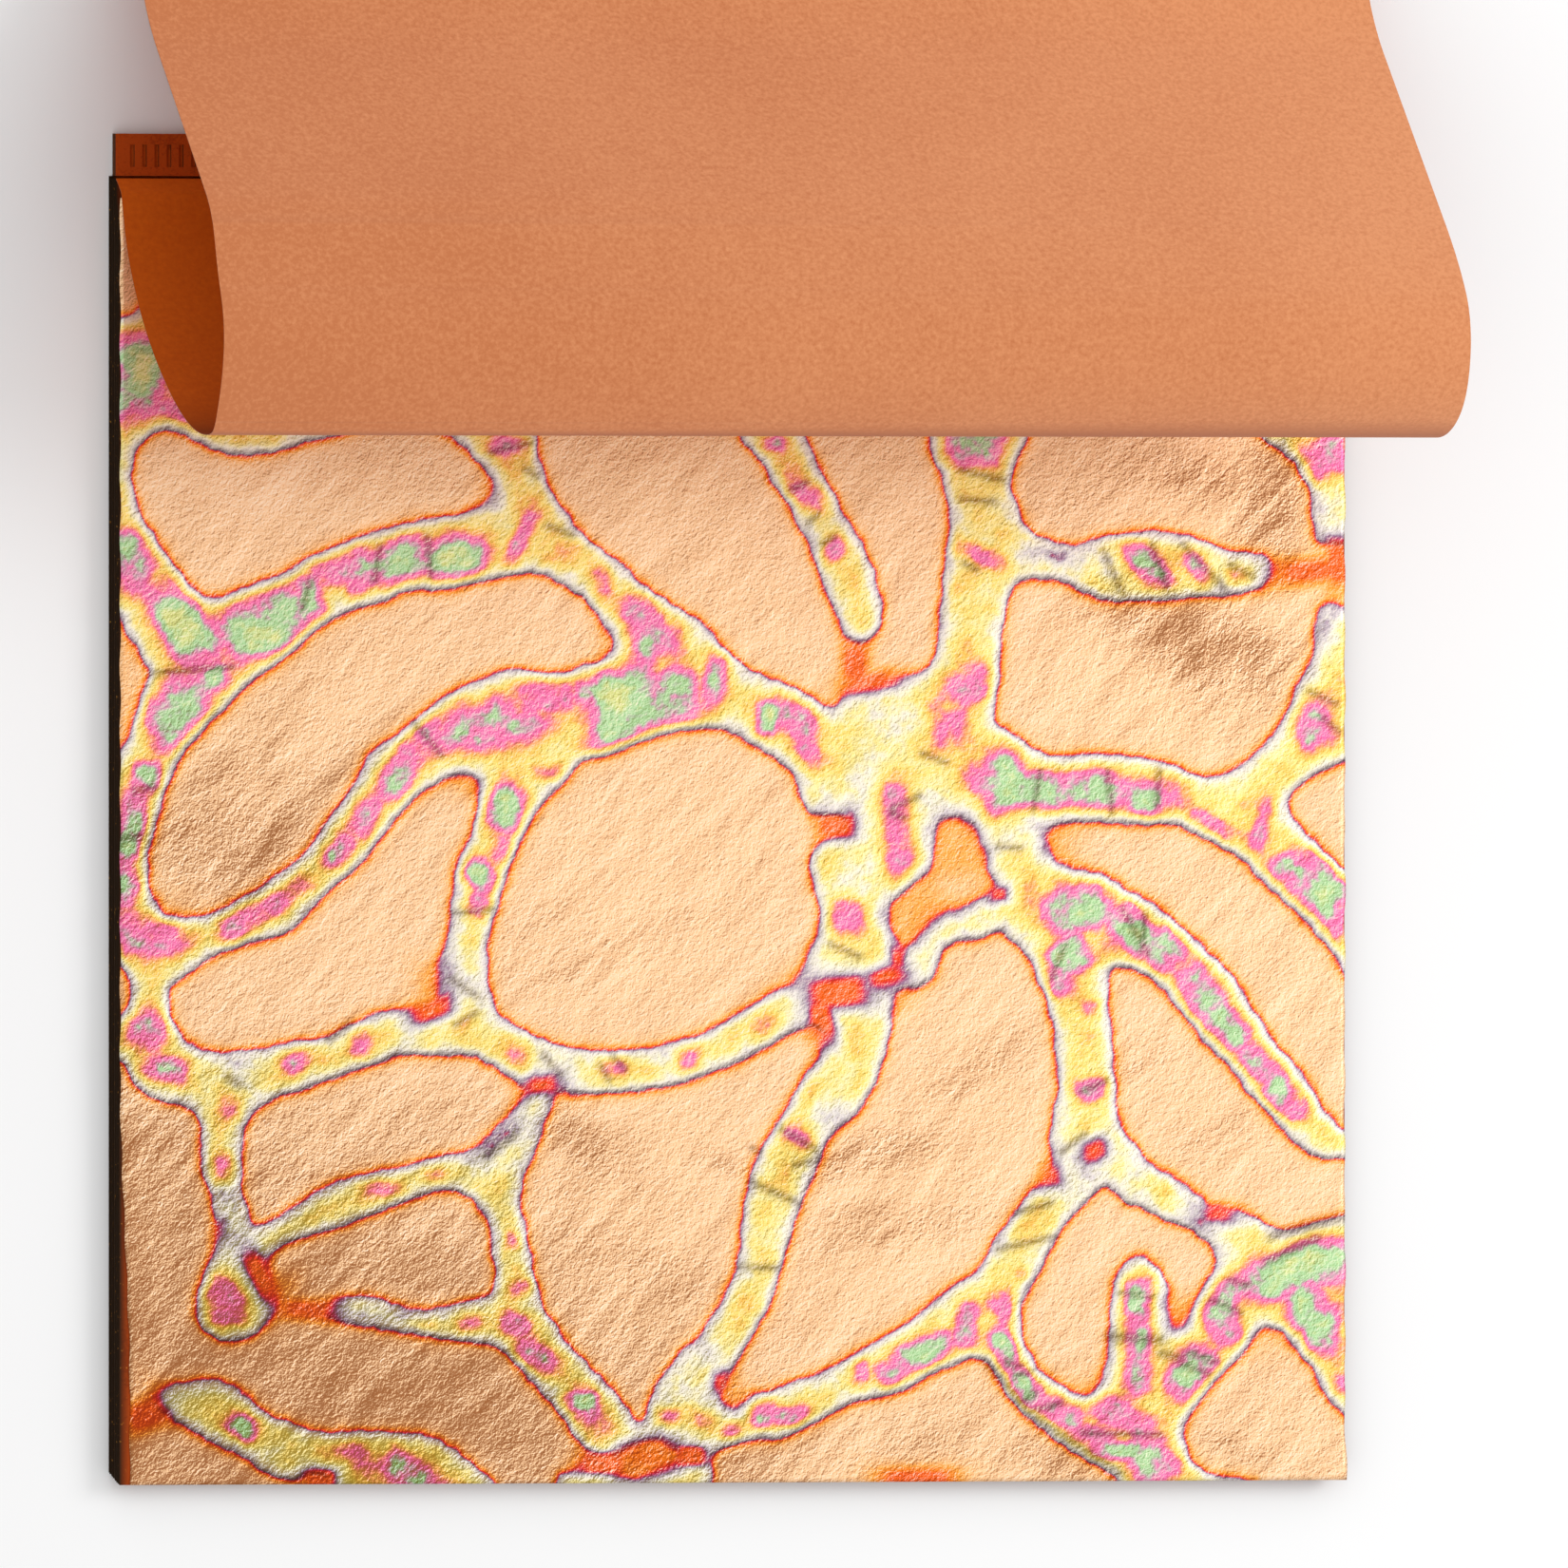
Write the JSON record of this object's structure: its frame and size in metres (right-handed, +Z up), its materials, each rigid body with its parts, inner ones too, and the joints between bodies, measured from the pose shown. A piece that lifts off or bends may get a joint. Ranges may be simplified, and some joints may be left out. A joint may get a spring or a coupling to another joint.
{
  "type": "gold leaf booklet",
  "caption": "Booklet of loose metal leaf between tissue sheets crimped at the back, with the first tissue curled back over the crimp to show the heat-coloured leaf.",
  "frame": {"origin": "centre of the closed booklet's underside", "axes": "+X along the crimp, +Y to the crimped back edge, +Z up out of the pages"},
  "size_m": [0.1415, 0.19, 0.0445],
  "materials": {
    "booklet_tissue": "rouged tissue, matte brick orange",
    "pressed_tissue": "rouged tissue, crimped",
    "turned_tissue": "chalky terracotta tissue",
    "metal_leaf": "beaten leaf",
    "exposed_leaf": "beaten leaf with heat colours"
  },
  "bodies": {
    "booklet": {"crimped_binding": "pressed_tissue", "tissue_26": "booklet_tissue", "leaf_25": "metal_leaf"},
    "page_02": {"tissue_02": "booklet_tissue"},
    "exposed_leaf": {"leaf_01": "exposed_leaf"},
    "page_03": {"tissue_03": "booklet_tissue", "leaf_02": "metal_leaf"},
    "page_04": {"tissue_04": "booklet_tissue", "leaf_03": "metal_leaf"},
    "page_05": {"tissue_05": "booklet_tissue", "leaf_04": "metal_leaf"},
    "page_06": {"tissue_06": "booklet_tissue", "leaf_05": "metal_leaf"},
    "page_07": {"tissue_07": "booklet_tissue", "leaf_06": "metal_leaf"},
    "page_08": {"tissue_08": "booklet_tissue", "leaf_07": "metal_leaf"},
    "page_09": {"tissue_09": "booklet_tissue", "leaf_08": "metal_leaf"},
    "page_10": {"tissue_10": "booklet_tissue", "leaf_09": "metal_leaf"},
    "page_11": {"tissue_11": "booklet_tissue", "leaf_10": "metal_leaf"},
    "page_12": {"tissue_12": "booklet_tissue", "leaf_11": "metal_leaf"},
    "page_13": {"tissue_13": "booklet_tissue", "leaf_12": "metal_leaf"},
    "page_14": {"tissue_14": "booklet_tissue", "leaf_13": "metal_leaf"},
    "page_15": {"tissue_15": "booklet_tissue", "leaf_14": "metal_leaf"},
    "page_16": {"tissue_16": "booklet_tissue", "leaf_15": "metal_leaf"},
    "page_17": {"tissue_17": "booklet_tissue", "leaf_16": "metal_leaf"},
    "page_18": {"tissue_18": "booklet_tissue", "leaf_17": "metal_leaf"},
    "page_19": {"tissue_19": "booklet_tissue", "leaf_18": "metal_leaf"},
    "page_20": {"tissue_20": "booklet_tissue", "leaf_19": "metal_leaf"},
    "page_21": {"tissue_21": "booklet_tissue", "leaf_20": "metal_leaf"},
    "page_22": {"tissue_22": "booklet_tissue", "leaf_21": "metal_leaf"},
    "page_23": {"tissue_23": "booklet_tissue", "leaf_22": "metal_leaf"},
    "page_24": {"tissue_24": "booklet_tissue", "leaf_23": "metal_leaf"},
    "page_25": {"tissue_25": "booklet_tissue", "leaf_24": "metal_leaf"},
    "sheet_run_1": {"turned_tissue_run_1": "turned_tissue"},
    "sheet_run_2": {"turned_tissue_run_2": "turned_tissue"},
    "sheet_run_3": {"turned_tissue_run_3": "turned_tissue"},
    "sheet_run_4": {"turned_tissue_run_4": "turned_tissue"},
    "sheet_run_5": {"turned_tissue_run_5": "turned_tissue"},
    "sheet_run_6": {"turned_tissue_run_6": "turned_tissue"},
    "sheet_run_7": {"turned_tissue_run_7": "turned_tissue"},
    "sheet_run_8": {"turned_tissue_run_8": "turned_tissue"},
    "sheet_run_9": {"turned_tissue_run_9": "turned_tissue"}
  },
  "joints": [
    {"name": "page_fan", "type": "hinge", "parent": "booklet", "child": "page_02", "pos_m": [0, 0.0689, 0.00058], "axis": [-1, 0, 0], "range_deg": [0, 6]},
    {"name": "page_03_lift", "type": "hinge", "parent": "booklet", "child": "page_03", "pos_m": [0, 0.0689, 0.00058], "axis": [-1, 0, 0], "range_deg": [0, 5.76]},
    {"name": "page_04_lift", "type": "hinge", "parent": "booklet", "child": "page_04", "pos_m": [0, 0.0689, 0.00058], "axis": [-1, 0, 0], "range_deg": [0, 5.52]},
    {"name": "page_05_lift", "type": "hinge", "parent": "booklet", "child": "page_05", "pos_m": [0, 0.0689, 0.00058], "axis": [-1, 0, 0], "range_deg": [0, 5.28]},
    {"name": "page_06_lift", "type": "hinge", "parent": "booklet", "child": "page_06", "pos_m": [0, 0.0689, 0.00058], "axis": [-1, 0, 0], "range_deg": [0, 5.04]},
    {"name": "page_07_lift", "type": "hinge", "parent": "booklet", "child": "page_07", "pos_m": [0, 0.0689, 0.00058], "axis": [-1, 0, 0], "range_deg": [0, 4.8]},
    {"name": "page_08_lift", "type": "hinge", "parent": "booklet", "child": "page_08", "pos_m": [0, 0.0689, 0.00058], "axis": [-1, 0, 0], "range_deg": [0, 4.56]},
    {"name": "page_09_lift", "type": "hinge", "parent": "booklet", "child": "page_09", "pos_m": [0, 0.0689, 0.00058], "axis": [-1, 0, 0], "range_deg": [0, 4.32]},
    {"name": "page_10_lift", "type": "hinge", "parent": "booklet", "child": "page_10", "pos_m": [0, 0.0689, 0.00058], "axis": [-1, 0, 0], "range_deg": [0, 4.08]},
    {"name": "page_11_lift", "type": "hinge", "parent": "booklet", "child": "page_11", "pos_m": [0, 0.0689, 0.00058], "axis": [-1, 0, 0], "range_deg": [0, 3.84]},
    {"name": "page_12_lift", "type": "hinge", "parent": "booklet", "child": "page_12", "pos_m": [0, 0.0689, 0.00058], "axis": [-1, 0, 0], "range_deg": [0, 3.6]},
    {"name": "page_13_lift", "type": "hinge", "parent": "booklet", "child": "page_13", "pos_m": [0, 0.0689, 0.00058], "axis": [-1, 0, 0], "range_deg": [0, 3.36]},
    {"name": "page_14_lift", "type": "hinge", "parent": "booklet", "child": "page_14", "pos_m": [0, 0.0689, 0.00058], "axis": [-1, 0, 0], "range_deg": [0, 3.12]},
    {"name": "page_15_lift", "type": "hinge", "parent": "booklet", "child": "page_15", "pos_m": [0, 0.0689, 0.00058], "axis": [-1, 0, 0], "range_deg": [0, 2.88]},
    {"name": "page_16_lift", "type": "hinge", "parent": "booklet", "child": "page_16", "pos_m": [0, 0.0689, 0.00058], "axis": [-1, 0, 0], "range_deg": [0, 2.64]},
    {"name": "page_17_lift", "type": "hinge", "parent": "booklet", "child": "page_17", "pos_m": [0, 0.0689, 0.00058], "axis": [-1, 0, 0], "range_deg": [0, 2.4]},
    {"name": "page_18_lift", "type": "hinge", "parent": "booklet", "child": "page_18", "pos_m": [0, 0.0689, 0.00058], "axis": [-1, 0, 0], "range_deg": [0, 2.16]},
    {"name": "page_19_lift", "type": "hinge", "parent": "booklet", "child": "page_19", "pos_m": [0, 0.0689, 0.00058], "axis": [-1, 0, 0], "range_deg": [0, 1.92]},
    {"name": "page_20_lift", "type": "hinge", "parent": "booklet", "child": "page_20", "pos_m": [0, 0.0689, 0.00058], "axis": [-1, 0, 0], "range_deg": [0, 1.68]},
    {"name": "page_21_lift", "type": "hinge", "parent": "booklet", "child": "page_21", "pos_m": [0, 0.0689, 0.00058], "axis": [-1, 0, 0], "range_deg": [0, 1.44]},
    {"name": "page_22_lift", "type": "hinge", "parent": "booklet", "child": "page_22", "pos_m": [0, 0.0689, 0.00058], "axis": [-1, 0, 0], "range_deg": [0, 1.2]},
    {"name": "page_23_lift", "type": "hinge", "parent": "booklet", "child": "page_23", "pos_m": [0, 0.0689, 0.00058], "axis": [-1, 0, 0], "range_deg": [0, 0.96]},
    {"name": "page_24_lift", "type": "hinge", "parent": "booklet", "child": "page_24", "pos_m": [0, 0.0689, 0.00058], "axis": [-1, 0, 0], "range_deg": [0, 0.72]},
    {"name": "page_25_lift", "type": "hinge", "parent": "booklet", "child": "page_25", "pos_m": [0, 0.0689, 0.00058], "axis": [-1, 0, 0], "range_deg": [0, 0.48]},
    {"name": "leaf_slide", "type": "slide", "parent": "page_02", "child": "exposed_leaf", "axis": [0, -1, 0], "range_m": [0, 0.14]},
    {"name": "sheet_turn", "type": "hinge", "parent": "page_02", "child": "sheet_run_1", "pos_m": [0, 0.0686, 0.00131], "axis": [1, 0, 0], "range_deg": [0, 16]},
    {"name": "crease_2", "type": "hinge", "parent": "sheet_run_1", "child": "sheet_run_2", "pos_m": [0, 0.05943, 0.00552], "axis": [1, 0, 0], "range_deg": [0, 23]},
    {"name": "crease_3", "type": "hinge", "parent": "sheet_run_2", "child": "sheet_run_3", "pos_m": [0, 0.05024, 0.01324], "axis": [1, 0, 0], "range_deg": [0, 16]},
    {"name": "crease_4", "type": "hinge", "parent": "sheet_run_3", "child": "sheet_run_4", "pos_m": [0, 0.04213, 0.02526], "axis": [1, 0, 0], "range_deg": [0, 24]},
    {"name": "crease_5", "type": "hinge", "parent": "sheet_run_4", "child": "sheet_run_5", "pos_m": [0, 0.0404, 0.03511], "axis": [1, 0, 0], "range_deg": [0, 38]},
    {"name": "crease_6", "type": "hinge", "parent": "sheet_run_5", "child": "sheet_run_6", "pos_m": [0, 0.04439, 0.04261], "axis": [1, 0, 0], "range_deg": [0, 50]},
    {"name": "crease_7", "type": "hinge", "parent": "sheet_run_6", "child": "sheet_run_7", "pos_m": [0, 0.0527, 0.04438], "axis": [1, 0, 0], "range_deg": [0, 44]},
    {"name": "crease_8", "type": "hinge", "parent": "sheet_run_7", "child": "sheet_run_8", "pos_m": [0, 0.05991, 0.03988], "axis": [1, 0, 0], "range_deg": [0, 15]},
    {"name": "crease_9", "type": "hinge", "parent": "sheet_run_8", "child": "sheet_run_9", "pos_m": [0, 0.08865, 0.00917], "axis": [1, 0, 0], "range_deg": [-40, 0]}
  ],
  "couplings": [
    {"joint": "page_03_lift", "follows": "page_fan", "ratio": 0.96},
    {"joint": "page_04_lift", "follows": "page_fan", "ratio": 0.92},
    {"joint": "page_05_lift", "follows": "page_fan", "ratio": 0.88},
    {"joint": "page_06_lift", "follows": "page_fan", "ratio": 0.84},
    {"joint": "page_07_lift", "follows": "page_fan", "ratio": 0.8},
    {"joint": "page_08_lift", "follows": "page_fan", "ratio": 0.76},
    {"joint": "page_09_lift", "follows": "page_fan", "ratio": 0.72},
    {"joint": "page_10_lift", "follows": "page_fan", "ratio": 0.68},
    {"joint": "page_11_lift", "follows": "page_fan", "ratio": 0.64},
    {"joint": "page_12_lift", "follows": "page_fan", "ratio": 0.6},
    {"joint": "page_13_lift", "follows": "page_fan", "ratio": 0.56},
    {"joint": "page_14_lift", "follows": "page_fan", "ratio": 0.52},
    {"joint": "page_15_lift", "follows": "page_fan", "ratio": 0.48},
    {"joint": "page_16_lift", "follows": "page_fan", "ratio": 0.44},
    {"joint": "page_17_lift", "follows": "page_fan", "ratio": 0.4},
    {"joint": "page_18_lift", "follows": "page_fan", "ratio": 0.36},
    {"joint": "page_19_lift", "follows": "page_fan", "ratio": 0.32},
    {"joint": "page_20_lift", "follows": "page_fan", "ratio": 0.28},
    {"joint": "page_21_lift", "follows": "page_fan", "ratio": 0.24},
    {"joint": "page_22_lift", "follows": "page_fan", "ratio": 0.2},
    {"joint": "page_23_lift", "follows": "page_fan", "ratio": 0.16},
    {"joint": "page_24_lift", "follows": "page_fan", "ratio": 0.12},
    {"joint": "page_25_lift", "follows": "page_fan", "ratio": 0.08},
    {"joint": "crease_2", "follows": "sheet_turn", "ratio": 1.4375},
    {"joint": "crease_3", "follows": "sheet_turn", "ratio": 1},
    {"joint": "crease_4", "follows": "sheet_turn", "ratio": 1.5},
    {"joint": "crease_5", "follows": "sheet_turn", "ratio": 2.375},
    {"joint": "crease_6", "follows": "sheet_turn", "ratio": 3.125},
    {"joint": "crease_7", "follows": "sheet_turn", "ratio": 2.75},
    {"joint": "crease_8", "follows": "sheet_turn", "ratio": 0.9375},
    {"joint": "crease_9", "follows": "sheet_turn", "ratio": -2.5}
  ]
}
